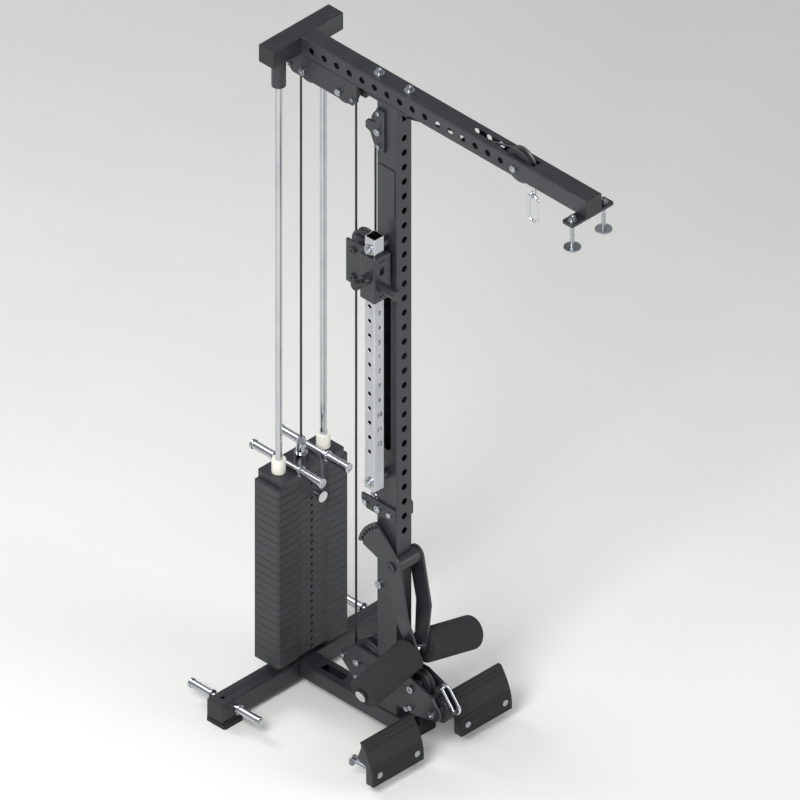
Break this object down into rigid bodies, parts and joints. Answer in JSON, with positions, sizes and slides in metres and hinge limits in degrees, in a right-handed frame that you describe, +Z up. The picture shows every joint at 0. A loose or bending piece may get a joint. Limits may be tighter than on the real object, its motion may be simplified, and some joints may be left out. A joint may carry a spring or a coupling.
{
  "type": "lat pulldown attachment",
  "caption": "Cable tower for a training rack with a selectorised weight stack, high and low pulleys, an adjustable pulley carriage, a leg hold lever and foot plates.",
  "frame": {"origin": "on the floor under the middle of the whole machine's outline", "axes": "+Z up, +Y towards the weight stack, -Y towards the user and the rack, X across"},
  "size_m": [0.685, 1.305, 2.253],
  "materials": {
    "powder_coat": "semi-matt textured",
    "chrome": "polished",
    "zinc": "zinc plated",
    "cast_plate": "painted",
    "rubber": "matt",
    "plastic": "moulded",
    "nylon": "moulded",
    "cable": "extruded nylon sheath",
    "foam": "closed-cell foam",
    "bushing": "moulded"
  },
  "bodies": {
    "frame": {"base_crossbar": "powder_coat", "tube_end_caps": "plastic", "rear_feet": "rubber", "base_spine": "powder_coat", "front_foot": "rubber", "upright": "powder_coat", "upright_plates": "powder_coat", "boom": "powder_coat", "top_crossbar": "powder_coat", "rod_sockets": "powder_coat", "guide_rods": "chrome", "stack_bumpers": "rubber", "weight_plates": "cast_plate", "base_band_pegs": "chrome", "top_pulley_plates": "powder_coat", "mid_pulley_plates": "powder_coat", "cable_anchor_plates": "powder_coat", "low_pulley_plates": "powder_coat", "pulley_axles": "zinc", "frame_bolts": "zinc", "rack_clamp_plate": "powder_coat", "rack_clamp_bolts": "zinc", "adjuster_rail": "chrome", "rail_spacers": "powder_coat", "pivot_tube": "powder_coat", "foot_plates": "powder_coat", "foot_treads": "rubber", "foot_plate_rods": "zinc", "lat_cable_run": "cable", "low_cable_run": "cable"},
    "stack_carriage": {"head_plate": "powder_coat", "lifted_plates": "cast_plate", "selector_stem": "chrome", "rod_bushings": "bushing", "stack_band_pegs": "chrome", "pin_tether": "plastic", "stack_strand": "cable"},
    "selector_pin": {"selector_pin": "plastic"},
    "lat_end": {"lat_carabiner": "zinc", "lat_strand": "cable"},
    "low_carabiner": {"low_carabiner": "zinc"},
    "carriage": {"carriage_sleeve": "powder_coat", "carriage_cables": "cable", "upper_strands": "cable", "lower_strands": "cable"},
    "pop_pin": {"pop_pin": "plastic"},
    "lever": {"lever_arms": "powder_coat", "roller_bar": "chrome"},
    "lock_pin": {"lock_pin": "zinc"},
    "front_pulley": {"front_pulley": "nylon"},
    "mid_pulley": {"mid_pulley": "nylon"},
    "top_pulley_rear": {"top_pulley_rear": "nylon"},
    "top_pulley_front": {"top_pulley_front": "nylon"},
    "carriage_pulley_upper": {"carriage_pulley_upper": "nylon"},
    "carriage_pulley_lower": {"carriage_pulley_lower": "nylon"},
    "low_pulley_rear": {"low_pulley_rear": "nylon"},
    "low_pulley_duct": {"low_pulley_duct": "nylon"},
    "low_pulley_tip": {"low_pulley_tip": "nylon"},
    "foam_roller_left": {"foam_roller_left": "foam"},
    "foam_roller_right": {"foam_roller_right": "foam"}
  },
  "joints": [
    {"name": "stack_lift", "type": "slide", "parent": "frame", "child": "stack_carriage", "axis": [0, 0, 1], "range_m": [0, 1.18], "deforming": ["stack_strand"]},
    {"name": "selector_pull", "type": "slide", "parent": "stack_carriage", "child": "selector_pin", "axis": [0, -1, 0], "range_m": [0, 0.07]},
    {"name": "lat_pull", "type": "slide", "parent": "frame", "child": "lat_end", "axis": [0, 0, -1], "range_m": [0, 1.18], "deforming": ["lat_strand"]},
    {"name": "low_swing", "type": "hinge", "parent": "frame", "child": "low_carabiner", "pos_m": [0, -0.034, 0.222], "axis": [1, 0, 0], "range_deg": [-25, 2]},
    {"name": "carriage_slide", "type": "slide", "parent": "frame", "child": "carriage", "axis": [0, 0, -1], "range_m": [0, 0.6], "deforming": ["upper_strands", "lower_strands"]},
    {"name": "pop_pin_push", "type": "slide", "parent": "carriage", "child": "pop_pin", "axis": [1, 0, 0], "range_m": [0, 0.012]},
    {"name": "lever_swing", "type": "hinge", "parent": "frame", "child": "lever", "pos_m": [0, 0.101, 0.604], "axis": [1, 0, 0], "range_deg": [-108, 0]},
    {"name": "lock_pin_push", "type": "slide", "parent": "frame", "child": "lock_pin", "axis": [-1, 0, 0], "range_m": [0, 0.014]},
    {"name": "roller_left_spin", "type": "hinge", "parent": "lever", "child": "foam_roller_left", "pos_m": [-0.11968, 0.05, 0.29787], "axis": [0.9703, 0, 0.2419], "continuous": true},
    {"name": "roller_right_spin", "type": "hinge", "parent": "lever", "child": "foam_roller_right", "pos_m": [0.11968, 0.05, 0.29787], "axis": [0.9703, 0, -0.2419], "continuous": true},
    {"name": "front_pulley_spin", "type": "hinge", "parent": "frame", "child": "front_pulley", "pos_m": [0, -0.364, 2.198], "axis": [1, 0, 0], "range_deg": [-1419, 1419]},
    {"name": "mid_pulley_spin", "type": "hinge", "parent": "frame", "child": "mid_pulley", "pos_m": [0, 0.168, 2.062], "axis": [1, 0, 0], "range_deg": [-1419, 1419]},
    {"name": "top_rear_spin", "type": "hinge", "parent": "frame", "child": "top_pulley_rear", "pos_m": [0, 0.4735, 2.114], "axis": [1, 0, 0], "range_deg": [-1767, 1767]},
    {"name": "top_front_spin", "type": "hinge", "parent": "frame", "child": "top_pulley_front", "pos_m": [0, 0.3315, 2.114], "axis": [1, 0, 0], "range_deg": [-1767, 1767]},
    {"name": "upper_spin", "type": "hinge", "parent": "carriage", "child": "carriage_pulley_upper", "pos_m": [0, 0.2545, 1.618], "axis": [1, 0, 0], "range_deg": [-1767, 1767]},
    {"name": "lower_spin", "type": "hinge", "parent": "carriage", "child": "carriage_pulley_lower", "pos_m": [0, 0.2545, 1.526], "axis": [1, 0, 0], "range_deg": [-1796, 1796]},
    {"name": "low_rear_spin", "type": "hinge", "parent": "frame", "child": "low_pulley_rear", "pos_m": [0, 0.25, 0.197], "axis": [1, 0, 0], "range_deg": [-1609, 1609]},
    {"name": "duct_spin", "type": "hinge", "parent": "frame", "child": "low_pulley_duct", "pos_m": [0, 0.036, 0.211], "axis": [1, 0, 0], "range_deg": [-1609, 1609]},
    {"name": "tip_spin", "type": "hinge", "parent": "frame", "child": "low_pulley_tip", "pos_m": [0, -0.048, 0.164], "axis": [1, 0, 0], "continuous": true}
  ],
  "couplings": [
    {"joint": "lat_pull", "follows": "stack_lift", "ratio": 1},
    {"joint": "front_pulley_spin", "follows": "stack_lift", "rad_per_m": 20.833},
    {"joint": "mid_pulley_spin", "follows": "stack_lift", "rad_per_m": 20.833},
    {"joint": "top_rear_spin", "follows": "stack_lift", "rad_per_m": 25.974},
    {"joint": "top_front_spin", "follows": "stack_lift", "rad_per_m": 25.974},
    {"joint": "upper_spin", "follows": "stack_lift", "rad_per_m": -25.974},
    {"joint": "lower_spin", "follows": "carriage_slide", "rad_per_m": 25.974},
    {"joint": "low_rear_spin", "follows": "carriage_slide", "rad_per_m": -46.512},
    {"joint": "duct_spin", "follows": "carriage_slide", "rad_per_m": -46.512}
  ]
}
